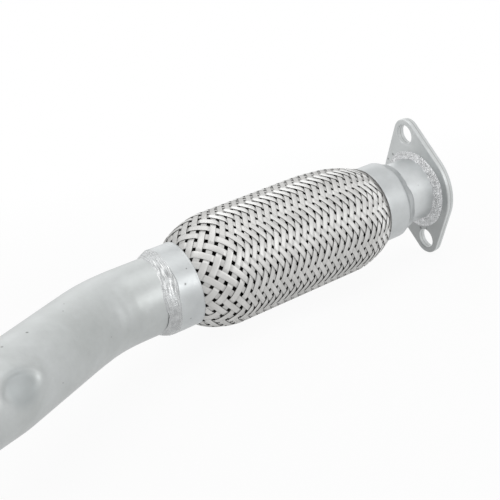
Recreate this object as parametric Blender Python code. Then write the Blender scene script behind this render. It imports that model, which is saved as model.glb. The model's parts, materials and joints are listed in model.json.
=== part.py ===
"""Exhaust flex pipe: bent pipe, woven flexible section and two-bolt flange, lying on a flat surface.

The part is built along X in its own axes, with the rear edge of the visible braid at X = 0, the flange
towards +X, the bolt holes one above the other along Z and the pipe bending towards -Y. lay_down() then
turns the whole part into the attitude in which it comes to rest, with Z up.
"""

from math import asin, atan2, cos, hypot, pi, radians, sin

import bmesh
import bpy
import numpy as np
from mathutils import Matrix, Vector

MM = 0.001

# Bent pipe
PIPE_OD = 50.8 * MM
PIPE_WALL = 1.6 * MM
PIPE_STRAIGHT_BEHIND_BRAID = 43.0 * MM
PIPE_MIDDLE_STRAIGHT = 82.0 * MM
PIPE_TAIL_STRAIGHT = 36.0 * MM
BEND_RADIUS = 57.0 * MM
FIRST_BEND_DEG = 34.5
SECOND_BEND_DEG = 10.0

# Oval dent pressed into the pipe's outer wall
DENT_FROM_PIPE_TAIL = 36.0 * MM
DENT_ROUND_PIPE_DEG = 14.0
DENT_LENGTH = 27.0 * MM
DENT_WIDTH = 19.0 * MM
DENT_DEPTH = 2.0 * MM

# Flexible section
BRAID_LENGTH = 156.0 * MM
BRAID_OD = 79.0 * MM
BRAID_WALL = 0.6 * MM
BRAID_SHOULDER = 28.0 * MM
BRAID_SHOULDER_SHARPNESS = 1.5
RIBBON_RISE = 1.6 * MM
RIBBONS_EACH_WAY = 8
GAP_ROWS = 15
GAP_LENGTH = 4.4 * MM
GAP_WIDTH_DEG = 10.0
WEAVE_MARGIN = 1.5 * MM
BELLOWS_WALL = 0.5 * MM
BELLOWS_CONVOLUTIONS = 8
BELLOWS_MARGIN = 14.0 * MM
BELLOWS_NECK_IN_BRAID = 7.0 * MM
BELLOWS_CREST_WIDTH = 4.4 * MM
BELLOWS_ROOT_WIDTH = 3.2 * MM
BELLOWS_ROOT_RISE = 2.3 * MM
BELLOWS_TO_BRAID = 1.3 * MM
LINER_PLAY = 0.5 * MM
LINER_WALL = 1.0 * MM
LINER_CORRUGATION = 0.5 * MM
LINER_CORRUGATIONS = 5
LINER_SLEEVE_WALL = 0.6 * MM
LINER_SLEEVE_LENGTH = 12.0 * MM
LINER_SLEEVE_IN_COLLAR = 4.0 * MM

# Collars
COLLAR_WALL = 1.4 * MM
REAR_COLLAR_LENGTH = 17.0 * MM
FRONT_COLLAR_LENGTH = 18.0 * MM
FRONT_SHOULDER_LENGTH = 6.5 * MM
COLLAR_EDGE_ROUND = 0.4 * MM

# Flange end
STUB_STEP_DOWN = 3.8 * MM
STUB_WALL = 1.6 * MM
STUB_REACH = 48.0 * MM
FLANGE_THICKNESS = 6.0 * MM
FLANGE_EDGE_CHAMFER = 0.6 * MM
FLANGE_BODY_DIAMETER = 70.0 * MM
FLANGE_EAR_DIAMETER = 23.4 * MM
BOLT_SPACING = 81.6 * MM
BOLT_HOLE_DIAMETER = 14.8 * MM

# Weld beads
FLANGE_BEAD_ALONG_STUB = 4.0 * MM
FLANGE_BEAD_UP_FACE = 5.2 * MM
FLANGE_BEAD_CONVEXITY = 0.9 * MM
FLANGE_BEAD_LUMP = 0.5 * MM
FLANGE_BEAD_LUMPS = 17
REAR_BEAD_LENGTH = 9.0 * MM
REAR_BEAD_CONVEXITY = 0.9 * MM
REAR_BEAD_LUMP = 0.5 * MM
REAR_BEAD_LUMPS = 11
FRONT_BEAD_LEG = 1.6 * MM
FRONT_BEAD_CONVEXITY = 0.3 * MM
FRONT_BEAD_LUMP = 0.2 * MM
FRONT_BEAD_LUMPS = 14
LUMP_MAIN_SHARE = 0.6
LUMP_BEAT = 5
LUMP_PHASE = 1.0

# Gaps between neighbouring pieces
SEAT_GAP = 0.3 * MM
LAYER_GAP = 0.3 * MM
END_GAP = 1.0 * MM
INSERT_DEPTH = 5.0 * MM

# Broken edges
TUBE_EDGE_BREAK = 0.2 * MM
THIN_EDGE_BREAK = 0.1 * MM

# Facets
ROUND_SIDES = 30
THIN_SIDES = 24
LINER_SIDES = 20
PIPE_SIDES = 26
BEAD_SIDES = 40
BEAD_STEPS = 3
EAR_STEP_DEG = 12.0
BEND_STEP_DEG = 6.0
DENT_STEP = 4.0 * MM
SHARP_EDGE_DEG = 35.0
CHAMFERED_EDGE_DEG = 60.0
SMALLEST_HULL_FACE = 1e-9

# Radii that follow from the stack of layers under a collar
PIPE_RADIUS = PIPE_OD / 2
STUB_RADIUS = (PIPE_OD - STUB_STEP_DOWN) / 2
BRAID_RADIUS = BRAID_OD / 2
BELLOWS_NECK_INNER = PIPE_RADIUS + LAYER_GAP
BELLOWS_NECK_OUTER = BELLOWS_NECK_INNER + BELLOWS_WALL
BRAID_NECK_INNER = BELLOWS_NECK_OUTER + LAYER_GAP
BRAID_NECK_OUTER = BRAID_NECK_INNER + BRAID_WALL
COLLAR_INNER = BRAID_NECK_OUTER + LAYER_GAP
COLLAR_RADIUS = COLLAR_INNER + COLLAR_WALL
LINER_SLEEVE_RADIUS = BELLOWS_NECK_INNER - LAYER_GAP

# Stations along the flexible section's axis
REAR_COLLAR_END = -REAR_COLLAR_LENGTH
FRONT_COLLAR_END = BRAID_LENGTH + FRONT_COLLAR_LENGTH
FRONT_SHOULDER_END = FRONT_COLLAR_END + FRONT_SHOULDER_LENGTH
FLANGE_REAR_FACE = BRAID_LENGTH + STUB_REACH
FLANGE_FRONT_FACE = FLANGE_REAR_FACE + FLANGE_THICKNESS
PIPE_END_IN_COLLAR = -INSERT_DEPTH
STUB_END_IN_COLLAR = BRAID_LENGTH + INSERT_DEPTH


def clear_scene():
    for old in list(bpy.data.objects):
        bpy.data.objects.remove(old, do_unlink=True)


def metal(name, colour, roughness, metallic=1.0):
    material = bpy.data.materials.new(name)
    material.use_nodes = True
    shader = material.node_tree.nodes["Principled BSDF"]
    shader.inputs["Base Color"].default_value = (*colour, 1.0)
    shader.inputs["Roughness"].default_value = roughness
    shader.inputs["Metallic"].default_value = metallic
    return material


def add_object(name, mesh_builder, material):
    """An object made from a bmesh, with its faces turned outwards."""
    bmesh.ops.recalc_face_normals(mesh_builder, faces=mesh_builder.faces)
    mesh = bpy.data.meshes.new(name)
    mesh_builder.to_mesh(mesh)
    mesh_builder.free()
    mesh.shade_smooth()
    mesh.set_sharp_from_angle(angle=radians(SHARP_EDGE_DEG))
    mesh.materials.append(material)
    made = bpy.data.objects.new(name, mesh)
    bpy.context.scene.collection.objects.link(made)
    return made


def circle(x, radius, sides):
    """A loop of points round the X axis."""
    angles = [2 * pi * k / sides for k in range(sides)]
    return [Vector((x, radius * cos(a), radius * sin(a))) for a in angles]


def loft(name, rings, material):
    """A closed skin through a closed row of rings that all have as many points."""
    builder = bmesh.new()
    loops = [[builder.verts.new(point) for point in ring] for ring in rings]
    sides = len(rings[0])
    for here, following in zip(loops, loops[1:] + loops[:1]):
        for k in range(sides):
            m = (k + 1) % sides
            builder.faces.new((here[k], here[m], following[m], following[k]))
    return add_object(name, builder, material)


def turned(name, profile, sides, material):
    """A ring turned about the X axis from a closed outline of (x, radius) points."""
    return loft(name, [circle(x, radius, sides) for x, radius in profile], material)


def sleeve_outline(start, end, inner, outer, edge):
    """A plain sleeve's outline, with its outer edges broken."""
    return [
        (start, inner),
        (start, outer - edge),
        (start + edge, outer),
        (end - edge, outer),
        (end, outer - edge),
        (end, inner),
    ]


def pipe_stations():
    """Points on the pipe's centre line from inside the collar to its free end, each with its direction and
    its distance to the free end."""
    point = Vector((PIPE_END_IN_COLLAR, 0, 0))
    heading = pi
    first = radians(FIRST_BEND_DEG)
    second = radians(SECOND_BEND_DEG)
    length_left = (
        PIPE_STRAIGHT_BEHIND_BRAID
        - INSERT_DEPTH
        + BEND_RADIUS * (first + second)
        + PIPE_MIDDLE_STRAIGHT
        + PIPE_TAIL_STRAIGHT
    )
    dent_zone = DENT_LENGTH / 2 + DENT_STEP
    stations = [(point, heading, length_left)]

    def step(length, turn):
        nonlocal point, heading, length_left
        chord_heading = heading + turn / 2
        chord = length if turn == 0 else 2 * BEND_RADIUS * sin(abs(turn) / 2)
        point = point + chord * Vector((cos(chord_heading), sin(chord_heading), 0))
        heading += turn
        length_left -= length
        stations.append((point, heading, length_left))

    def straight(length):
        """A straight run, with close stations where the dent lies."""
        start = length_left
        marks = [start - length]
        for k in range(int(2 * dent_zone / DENT_STEP) + 1):
            mark = DENT_FROM_PIPE_TAIL + dent_zone - k * DENT_STEP
            if start - length + DENT_STEP / 2 < mark < start - DENT_STEP / 2:
                marks.append(mark)
        for mark in sorted(marks, reverse=True):
            step(length_left - mark, 0)

    def bend(total):
        count = max(1, round(abs(total) / radians(BEND_STEP_DEG)))
        for _ in range(count):
            step(BEND_RADIUS * abs(total) / count, total / count)

    straight(PIPE_STRAIGHT_BEHIND_BRAID - INSERT_DEPTH)
    bend(first)
    straight(PIPE_MIDDLE_STRAIGHT)
    bend(-second)
    straight(PIPE_TAIL_STRAIGHT)
    return stations


def dent_depth(length_left, angle):
    """How far the wall is pressed in at a place on the pipe. The angle counts from the bend's inner side."""
    along = (length_left - DENT_FROM_PIPE_TAIL) / (DENT_LENGTH / 2)
    across = (angle - radians(DENT_ROUND_PIPE_DEG)) * PIPE_RADIUS / (DENT_WIDTH / 2)
    reach = min(1.0, hypot(along, across))
    return DENT_DEPTH * (1 - reach**2) ** 2


def pipe_ring(station, radius):
    point, heading, length_left = station
    towards_bend = Vector((-sin(heading), cos(heading), 0))
    ring = []
    for k in range(PIPE_SIDES):
        angle = 2 * pi * k / PIPE_SIDES
        if angle > pi:
            angle -= 2 * pi
        pressed = radius - dent_depth(length_left, angle)
        ring.append(point + pressed * (cos(angle) * towards_bend + Vector((0, 0, sin(angle)))))
    return ring


def bent_pipe(material):
    stations = pipe_stations()
    outer = [pipe_ring(station, PIPE_RADIUS) for station in stations]
    inner = [pipe_ring(station, PIPE_RADIUS - PIPE_WALL) for station in reversed(stations)]
    return loft("bent_pipe", outer + inner, material)


def braid_radius(x):
    """The braid's outer radius, level along the middle and drawn in to the collars at both ends."""
    to_end = max(0.0, min(x, BRAID_LENGTH - x)) / BRAID_SHOULDER
    p = BRAID_SHOULDER_SHARPNESS
    rise = (1 - (1 - min(1.0, to_end)) ** p) ** (1 / p)
    lowest = BRAID_NECK_OUTER + RIBBON_RISE
    return lowest + (BRAID_RADIUS - lowest) * rise


class WovenWall:
    """Points and faces of a sleeve woven from flat ribbons that run both ways round it.

    Rows of the weave are numbered along X, columns round it. A gap lies where row + column is even and two
    ribbons cross where it is odd. A gap's corners are named after the side that they lie on.
    """

    def __init__(self):
        self.builder = bmesh.new()
        self.points = {}
        self.columns = 2 * RIBBONS_EACH_WAY
        self.pitch = (BRAID_LENGTH - 2 * WEAVE_MARGIN) / (GAP_ROWS + 1)

    def row_x(self, row):
        return WEAVE_MARGIN + self.pitch * row

    def point(self, name, row, column, x, column_shift, height):
        key = (name, row, column % self.columns)
        if key not in self.points:
            angle = 2 * pi * (column + column_shift) / self.columns
            radius = braid_radius(x) - RIBBON_RISE / 2 + height
            place = Vector((x, radius * cos(angle), radius * sin(angle)))
            self.points[key] = self.builder.verts.new(place)
        return self.points[key]

    def gap_corner(self, side, row, column):
        half_width = GAP_WIDTH_DEG / 2 / (360 / self.columns)
        shift = {"left": -half_width, "right": half_width}.get(side, 0)
        reach = {"back": -GAP_LENGTH / 2, "front": GAP_LENGTH / 2}.get(side, 0)
        return self.point(side, row, column, self.row_x(row) + reach, shift, 0)

    def over(self, row, column):
        """True where the ribbon that climbs with the column lies on top: over two, under two."""
        return (column - 1) % 4 < 2

    def crossing(self, row, column):
        x = self.row_x(row)
        return self.point("crossing", row, column, x, 0, RIBBON_RISE / 2)

    def ribbon_edge(self, row, column, climbs, forward):
        """The middle of the line where a ribbon leaves a crossing, raised if it lies on top there."""
        on_top = self.over(row, column) == climbs
        height = RIBBON_RISE / 2 if on_top else -RIBBON_RISE / 2
        direction = 1 if forward else -1
        side = direction if climbs else -direction
        x = self.row_x(row) + direction * (self.pitch - GAP_LENGTH / 2) / 2
        name = f"edge {climbs} {forward}"
        return self.point(name, row, column, x, side * self.edge_shift(), height)

    def edge_shift(self):
        half_width = GAP_WIDTH_DEG / 2 / (360 / self.columns)
        return (1 - half_width) / 2

    def face(self, *corners):
        self.builder.faces.new(corners)

    def weave_crossing(self, row, column, back, front):
        """The ribbons' crossing, as the four quarters round its middle. The first and last row have half."""
        middle = self.crossing(row, column)
        left = self.gap_corner("right", row, column - 1)
        right = self.gap_corner("left", row, column + 1)
        if back:
            tip = self.gap_corner("front", row - 1, column)
            self.face(middle, left, self.ribbon_edge(row, column, True, False), tip)
            self.face(middle, tip, self.ribbon_edge(row, column, False, False), right)
        if front:
            tip = self.gap_corner("back", row + 1, column)
            self.face(middle, tip, self.ribbon_edge(row, column, False, True), left)
            self.face(middle, right, self.ribbon_edge(row, column, True, True), tip)

    def weave_ribbons(self, row, column):
        """The two ribbons' runs from this crossing to those of the next row."""
        for climbs, side in ((True, 1), (False, -1)):
            near, far = ("left", "right") if climbs else ("right", "left")
            start = self.ribbon_edge(row, column, climbs, True)
            end = self.ribbon_edge(row + 1, column + side, climbs, False)
            beside = self.gap_corner(near, row, column + side)
            beyond = self.gap_corner("front", row, column + side)
            self.face(start, beside, beyond, end)
            before = self.gap_corner("back", row + 1, column)
            ahead = self.gap_corner(far, row + 1, column)
            self.face(start, end, ahead, before)

    def rim(self, row, front):
        """The points of the first or last row, in order round the sleeve."""
        rim = []
        for column in range(self.columns):
            if (row + column) % 2:
                rim.append(self.crossing(row, column))
            else:
                sides = [self.gap_corner(side, row, column) for side in ("left", "right")]
                rim += sides
                self.face(*sides, self.gap_corner("front" if front else "back", row, column))
        return rim

    def neck(self, rim, collar_edge, end):
        """The plain end that is clamped under a collar."""
        angles = [atan2(vertex.co.z, vertex.co.y) for vertex in rim]
        radius = BRAID_NECK_OUTER
        inner = rim
        for x in (collar_edge, end):
            outer = [self.builder.verts.new((x, radius * cos(a), radius * sin(a))) for a in angles]
            for k in range(len(rim)):
                m = (k + 1) % len(rim)
                self.face(inner[k], inner[m], outer[m], outer[k])
            inner = outer

    def build(self):
        last = GAP_ROWS + 1
        for row in range(last + 1):
            for column in range(self.columns):
                if (row + column) % 2 == 0:
                    continue
                self.weave_crossing(row, column, row > 0, row < last)
                if row < last:
                    self.weave_ribbons(row, column)
        self.neck(self.rim(0, True), 0, REAR_COLLAR_END + END_GAP)
        self.neck(self.rim(last, False), BRAID_LENGTH, FRONT_COLLAR_END - END_GAP)
        return self.builder


def outer_braid(material):
    braid = add_object("outer_braid", WovenWall().build(), material)
    wall = braid.modifiers.new("wall", "SOLIDIFY")
    wall.thickness = BRAID_WALL
    wall.offset = -1
    return braid


def bellows_outline():
    """The bellows' skin as (x, radius) points from neck to neck, crest and root in turn."""
    pitch = (BRAID_LENGTH - 2 * BELLOWS_MARGIN) / BELLOWS_CONVOLUTIONS
    root = BELLOWS_NECK_OUTER + BELLOWS_ROOT_RISE
    half_root = BELLOWS_ROOT_WIDTH / 2
    half_crest = BELLOWS_CREST_WIDTH / 2
    outline = [(REAR_COLLAR_END + END_GAP, BELLOWS_NECK_OUTER), (BELLOWS_NECK_IN_BRAID, BELLOWS_NECK_OUTER)]
    for k in range(BELLOWS_CONVOLUTIONS):
        start = BELLOWS_MARGIN + k * pitch
        middle = start + pitch / 2
        inside = min(braid_radius(start), braid_radius(start + pitch))
        crest = inside - RIBBON_RISE - BRAID_WALL - BELLOWS_TO_BRAID
        outline += [(start + half_root, root), (middle - half_crest, crest)]
        outline += [(middle + half_crest, crest), (start + pitch - half_root, root)]
    outline.append((BRAID_LENGTH - BELLOWS_NECK_IN_BRAID, BELLOWS_NECK_OUTER))
    outline.append((FRONT_COLLAR_END - END_GAP, BELLOWS_NECK_OUTER))
    return outline


def bellows(material):
    builder = bmesh.new()
    rings = [circle(x, radius, THIN_SIDES) for x, radius in bellows_outline()]
    loops = [[builder.verts.new(point) for point in ring] for ring in rings]
    for here, following in zip(loops, loops[1:]):
        for k in range(THIN_SIDES):
            m = (k + 1) % THIN_SIDES
            builder.faces.new((here[k], following[k], following[m], here[m]))
    made = add_object("bellows", builder, material)
    wall = made.modifiers.new("wall", "SOLIDIFY")
    wall.thickness = BELLOWS_WALL
    wall.offset = -1
    return made


def inner_liner(material):
    """The flexible metal hose inside the bellows, with a low corrugation along it."""
    outer = LINER_SLEEVE_RADIUS - LINER_SLEEVE_WALL - LINER_PLAY
    inner = outer - LINER_WALL
    start = -LINER_SLEEVE_IN_COLLAR
    end = BRAID_LENGTH + LINER_SLEEVE_IN_COLLAR
    pitch = (end - start) / (LINER_CORRUGATIONS + 1)
    outside = [(start, outer)]
    inside = [(start, inner)]
    for k in range(1, LINER_CORRUGATIONS + 1):
        x = start + k * pitch
        outside += [(x - pitch / 4, outer), (x, outer - LINER_CORRUGATION)]
        inside += [(x - pitch / 4, inner), (x, inner - LINER_CORRUGATION)]
    outside.append((end, outer))
    inside.append((end, inner))
    return turned("inner_liner", outside + inside[::-1], LINER_SIDES, material)


def liner_sleeve(name, start, material):
    """A plain sleeve that steadies one end of the liner inside the bellows' neck."""
    outer = LINER_SLEEVE_RADIUS
    inner = outer - LINER_SLEEVE_WALL
    outline = sleeve_outline(start, start + LINER_SLEEVE_LENGTH, inner, outer, THIN_EDGE_BREAK)
    return turned(name, outline, THIN_SIDES, material)


def rear_collar(material):
    outline = sleeve_outline(REAR_COLLAR_END, 0, COLLAR_INNER, COLLAR_RADIUS, COLLAR_EDGE_ROUND)
    return turned("rear_collar", outline, ROUND_SIDES, material)


def front_collar(material):
    """A sleeve whose front end is drawn in to the stub."""
    lip_inner = STUB_RADIUS + SEAT_GAP
    lip_outer = lip_inner + COLLAR_WALL
    edge = COLLAR_EDGE_ROUND
    outline = [
        (BRAID_LENGTH, COLLAR_INNER),
        (BRAID_LENGTH, COLLAR_RADIUS - edge),
        (BRAID_LENGTH + edge, COLLAR_RADIUS),
        (FRONT_COLLAR_END - edge, COLLAR_RADIUS),
        (FRONT_COLLAR_END + edge, COLLAR_RADIUS - edge),
        (FRONT_SHOULDER_END - edge, lip_outer + edge),
        (FRONT_SHOULDER_END, lip_outer),
        (FRONT_SHOULDER_END, lip_inner),
        (FRONT_COLLAR_END, COLLAR_INNER),
    ]
    return turned("front_collar", outline, ROUND_SIDES, material)


def stub_pipe(material):
    """The short straight pipe from the front collar into the flange's bore."""
    end = FLANGE_FRONT_FACE - END_GAP
    inner = STUB_RADIUS - STUB_WALL
    outline = sleeve_outline(STUB_END_IN_COLLAR, end, inner, STUB_RADIUS, TUBE_EDGE_BREAK)
    return turned("flange_stub", outline, ROUND_SIDES, material)


def bead(name, toe, crown, convexity, lump, lumps, material):
    """A weld bead round the X axis. It fills the corner between a tube and the face or edge beside it, from
    its toe on the tube to its crown on the face, both as (x, radius). Its surface bulges by its convexity
    and follows the welder's runs, so that each run is a low lump that fades out at the toe."""
    across = crown[0] - toe[0]
    up = crown[1] - toe[1]
    length = hypot(across, up)
    out_x = -abs(up) / length * (1 if across > 0 else -1)
    out_r = abs(across) / length
    rings = [circle(crown[0], toe[1], BEAD_SIDES)]
    for step in range(BEAD_STEPS + 1):
        t = step / BEAD_STEPS
        bulge = convexity * 4 * t * (1 - t)
        x = toe[0] + across * t + bulge * out_x
        ring = []
        for k in range(BEAD_SIDES):
            angle = 2 * pi * k / BEAD_SIDES
            run = LUMP_MAIN_SHARE * sin(lumps * angle)
            beat = (1 - LUMP_MAIN_SHARE) * sin((lumps - LUMP_BEAT) * angle + LUMP_PHASE)
            swell = lump * t * (run + beat)
            radius = toe[1] + up * t + bulge * out_r + swell
            ring.append(Vector((x, radius * cos(angle), radius * sin(angle))))
        rings.append(ring)
    return loft(name, rings, material)


def flange_bead(material):
    """The fillet bead between the stub and the flange's rear face."""
    seat = STUB_RADIUS + SEAT_GAP
    face = FLANGE_REAR_FACE - SEAT_GAP
    toe = (face - FLANGE_BEAD_ALONG_STUB, seat)
    crown = (face, seat + FLANGE_BEAD_UP_FACE)
    return bead(
        "flange_weld", toe, crown, FLANGE_BEAD_CONVEXITY, FLANGE_BEAD_LUMP, FLANGE_BEAD_LUMPS, material
    )


def rear_bead(material):
    """The bead that fills the step from the rear collar down to the bent pipe."""
    edge = REAR_COLLAR_END - SEAT_GAP
    toe = (edge - REAR_BEAD_LENGTH, PIPE_RADIUS + SEAT_GAP)
    crown = (edge, COLLAR_RADIUS)
    return bead(
        "rear_collar_weld", toe, crown, REAR_BEAD_CONVEXITY, REAR_BEAD_LUMP, REAR_BEAD_LUMPS, material
    )


def front_bead(material):
    """The small bead where the drawn-in collar meets the stub."""
    seat = STUB_RADIUS + SEAT_GAP
    edge = FRONT_SHOULDER_END + SEAT_GAP
    toe = (edge + FRONT_BEAD_LEG, seat)
    crown = (edge, seat + COLLAR_WALL)
    return bead(
        "front_collar_weld", toe, crown, FRONT_BEAD_CONVEXITY, FRONT_BEAD_LUMP, FRONT_BEAD_LUMPS, material
    )


def flange_outline():
    """The flange's outline: a round body and two round ears, joined by straight flanks that touch both."""
    body = FLANGE_BODY_DIAMETER / 2
    ear = FLANGE_EAR_DIAMETER / 2
    reach = BOLT_SPACING / 2
    flank = asin(min(1.0, max(-1.0, (body - ear) / reach)))
    outline = []

    def arc(centre_z, radius, start, end):
        count = max(2, round(abs(end - start) / radians(EAR_STEP_DEG)))
        for k in range(count + 1):
            angle = start + (end - start) * k / count
            outline.append((radius * cos(angle), centre_z + radius * sin(angle)))

    arc(0, body, -flank, flank)
    arc(reach, ear, flank, pi - flank)
    arc(0, body, pi - flank, pi + flank)
    arc(-reach, ear, pi + flank, 2 * pi - flank)
    return outline


def cutter(name, z, radius, sides, material):
    """A round tool along X, right through the flange."""
    builder = bmesh.new()
    ends = []
    for end_x in (FLANGE_REAR_FACE - FLANGE_THICKNESS, FLANGE_FRONT_FACE + FLANGE_THICKNESS):
        ring = [builder.verts.new(p + Vector((0, 0, z))) for p in circle(end_x, radius, sides)]
        ends.append(ring)
        builder.faces.new(ring)
    for k in range(sides):
        m = (k + 1) % sides
        builder.faces.new((ends[0][k], ends[0][m], ends[1][m], ends[1][k]))
    tool = add_object(name, builder, material)
    tool.hide_render = True
    tool.display_type = "WIRE"
    return tool


def flange(material):
    builder = bmesh.new()
    loops = []
    for x in (FLANGE_REAR_FACE, FLANGE_FRONT_FACE):
        loops.append([builder.verts.new((x, y, z)) for y, z in flange_outline()])
        builder.faces.new(loops[-1])
    sides = len(loops[0])
    for k in range(sides):
        m = (k + 1) % sides
        builder.faces.new((loops[0][k], loops[0][m], loops[1][m], loops[1][k]))
    plate = add_object("flange", builder, material)
    edge = plate.modifiers.new("edge", "BEVEL")
    edge.width = FLANGE_EDGE_CHAMFER
    edge.segments = 1
    edge.limit_method = "ANGLE"
    edge.angle_limit = radians(CHAMFERED_EDGE_DEG)
    half_spacing = BOLT_SPACING / 2
    hole = BOLT_HOLE_DIAMETER / 2
    tools = [
        cutter("bore_tool", 0, STUB_RADIUS + SEAT_GAP, ROUND_SIDES, material),
        cutter("upper_bolt_hole_tool", half_spacing, hole, THIN_SIDES, material),
        cutter("lower_bolt_hole_tool", -half_spacing, hole, THIN_SIDES, material),
    ]
    for tool in tools:
        cut = plate.modifiers.new(f"cut {tool.name}", "BOOLEAN")
        cut.operation = "DIFFERENCE"
        cut.solver = "EXACT"
        cut.object = tool
    return plate, tools


def solid_points(pieces):
    """Every solid's corner points and the whole part's centre of mass, all of it in steel."""
    graph = bpy.context.evaluated_depsgraph_get()
    points, moment, volume = [], np.zeros(3), 0.0
    for piece in pieces:
        mesh = piece.evaluated_get(graph).to_mesh()
        mesh.calc_loop_triangles()
        corners = np.array([vertex.co for vertex in mesh.vertices])
        triangles = np.array([triangle.vertices for triangle in mesh.loop_triangles])
        a, b, c = (corners[triangles[:, k]] for k in range(3))
        share = np.einsum("ij,ij->i", a, np.cross(b, c)) / 6
        moment += ((a + b + c) / 4 * share[:, None]).sum(axis=0)
        volume += share.sum()
        points.append(corners)
    return np.concatenate(points), Vector(moment / volume)


def resting_side(points, centre):
    """The outward normal of the side of the part's hull that lies flattest under its centre of mass."""
    builder = bmesh.new()
    for point in points:
        builder.verts.new(point)
    hull = bmesh.ops.convex_hull(builder, input=builder.verts)
    best = None
    for face in hull["geom"]:
        if not isinstance(face, bmesh.types.BMFace) or face.calc_area() < SMALLEST_HULL_FACE:
            continue
        normal = face.normal.copy()
        if normal.dot(face.calc_center_median() - centre) < 0:
            normal.negate()
        foot = centre + normal * normal.dot(face.verts[0].co - centre)
        if best is not None and normal.z > best.z:
            continue
        if bmesh.geometry.intersect_face_point(face, foot):
            best = normal
    builder.free()
    return best


def lay_down(pieces, tools):
    """Hangs every piece on one empty and turns it so that the part rests on its ear, braid and pipe end, with
    the middle of its bounding box's underside at the origin."""
    points, centre = solid_points(pieces)
    down = resting_side(points, centre)
    turn = down.rotation_difference(Vector((0, 0, -1))).to_matrix()
    turned_points = points @ np.array(turn).T
    low, high = turned_points.min(axis=0), turned_points.max(axis=0)
    shift = Vector((-(low[0] + high[0]) / 2, -(low[1] + high[1]) / 2, -low[2]))
    carrier = bpy.data.objects.new("exhaust_flex_pipe", None)
    bpy.context.scene.collection.objects.link(carrier)
    carrier.matrix_world = Matrix.Translation(shift) @ turn.to_4x4()
    for piece in pieces + tools:
        piece.parent = carrier
    bpy.context.view_layer.update()


def main():
    clear_scene()
    pipe_steel = metal("coated_steel", (0.60, 0.62, 0.63), 0.38)
    bead_steel = metal("weld_metal", (0.66, 0.67, 0.68), 0.42)
    braid_steel = metal("braid_stainless", (0.68, 0.67, 0.64), 0.33)
    thin_steel = metal("bellows_stainless", (0.42, 0.41, 0.39), 0.35)
    plate, tools = flange(pipe_steel)
    front_sleeve_start = BRAID_LENGTH + LINER_SLEEVE_IN_COLLAR - LINER_SLEEVE_LENGTH
    pieces = [
        bent_pipe(pipe_steel),
        rear_bead(bead_steel),
        rear_collar(pipe_steel),
        outer_braid(braid_steel),
        bellows(thin_steel),
        inner_liner(thin_steel),
        liner_sleeve("liner_rear_sleeve", -LINER_SLEEVE_IN_COLLAR, thin_steel),
        liner_sleeve("liner_front_sleeve", front_sleeve_start, thin_steel),
        front_collar(pipe_steel),
        front_bead(bead_steel),
        stub_pipe(pipe_steel),
        flange_bead(bead_steel),
        plate,
    ]
    lay_down(pieces, tools)


main()
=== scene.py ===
"""Looks of the exhaust flex pipe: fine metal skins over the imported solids, a woven braid, camera and light.

Shapes are given in the part's own axes, in millimetres: X along the flexible section towards the flange with
the rear edge of the visible braid at 0, Z through the bolt holes, and the pipe bending towards -Y.
"""

import json
from math import asin, cos, pi, radians, sin

import bmesh
import bpy
import numpy as np
from mathutils import Matrix, Vector


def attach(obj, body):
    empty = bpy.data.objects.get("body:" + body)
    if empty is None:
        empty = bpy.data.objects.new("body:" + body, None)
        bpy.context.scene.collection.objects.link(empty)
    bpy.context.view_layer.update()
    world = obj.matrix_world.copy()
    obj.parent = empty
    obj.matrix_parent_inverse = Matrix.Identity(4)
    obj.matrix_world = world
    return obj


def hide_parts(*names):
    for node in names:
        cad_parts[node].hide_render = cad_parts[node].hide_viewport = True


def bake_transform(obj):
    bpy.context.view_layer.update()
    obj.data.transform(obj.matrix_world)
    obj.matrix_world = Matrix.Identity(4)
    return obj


bpy.context.scene.view_settings.view_transform = "Standard"
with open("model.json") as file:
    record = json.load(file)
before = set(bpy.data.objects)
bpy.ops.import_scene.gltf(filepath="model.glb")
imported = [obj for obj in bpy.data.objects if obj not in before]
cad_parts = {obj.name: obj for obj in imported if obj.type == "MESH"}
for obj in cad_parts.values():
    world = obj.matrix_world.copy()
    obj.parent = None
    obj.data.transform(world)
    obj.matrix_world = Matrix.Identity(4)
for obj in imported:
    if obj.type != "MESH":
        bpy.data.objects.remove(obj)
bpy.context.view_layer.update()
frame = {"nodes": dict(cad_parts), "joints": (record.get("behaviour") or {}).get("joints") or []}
MM = 0.001

# Bent pipe, its runs given from the end inside the collar as (length, degrees)
PIPE_RADIUS = 25.4
PIPE_BORE = 23.8
PIPE_START = -5.0
BEND_RADIUS = 57.0
BEND = 34.5
BEND_BACK = 10.0
PIPE_RUNS = (
    (38.0, 0.0),
    (BEND_RADIUS * radians(BEND), BEND),
    (82.0, 0.0),
    (BEND_RADIUS * radians(BEND_BACK), -BEND_BACK),
    (36.0, 0.0),
)
PIPE_LENGTH = sum(length for length, turn in PIPE_RUNS)
PIPE_END_CHAMFER = 0.4

# Pressed dent in the pipe's tail, and the waves and the fuller wall on the inside of the bend
DENT_FROM_TAIL = 36.0
DENT_ANGLE = radians(10.0)
DENT_HALF_LENGTH = 13.0
DENT_HALF_WIDTH = 11.5
DENT_DEPTH = 1.3
DENT_LIP = 0.3
BEND_WAVES = 0.07
BEND_WAVES_REACH = (40, 56, 70, 92)
BEND_FULLNESS = 2.3
BEND_FULL_REACH = (24, 55, 60, 90)

# Flexible section
BRAID_LENGTH = 156.0
MIDDLE = BRAID_LENGTH / 2
BRAID_RADIUS = 39.36
BRAID_EDGE_RADIUS = 28.6
BRAID_TUCKED_RADIUS = 27.1
BRAID_TUCK = 1.2
SHOULDER = 28.0
SHOULDER_POWER = 1.5
FRONT_SAG = 2.2
FRONT_SAG_REACH = (105, 138, 150, 157)
FRONT_SAG_ANGLE = radians(85.0)

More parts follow.
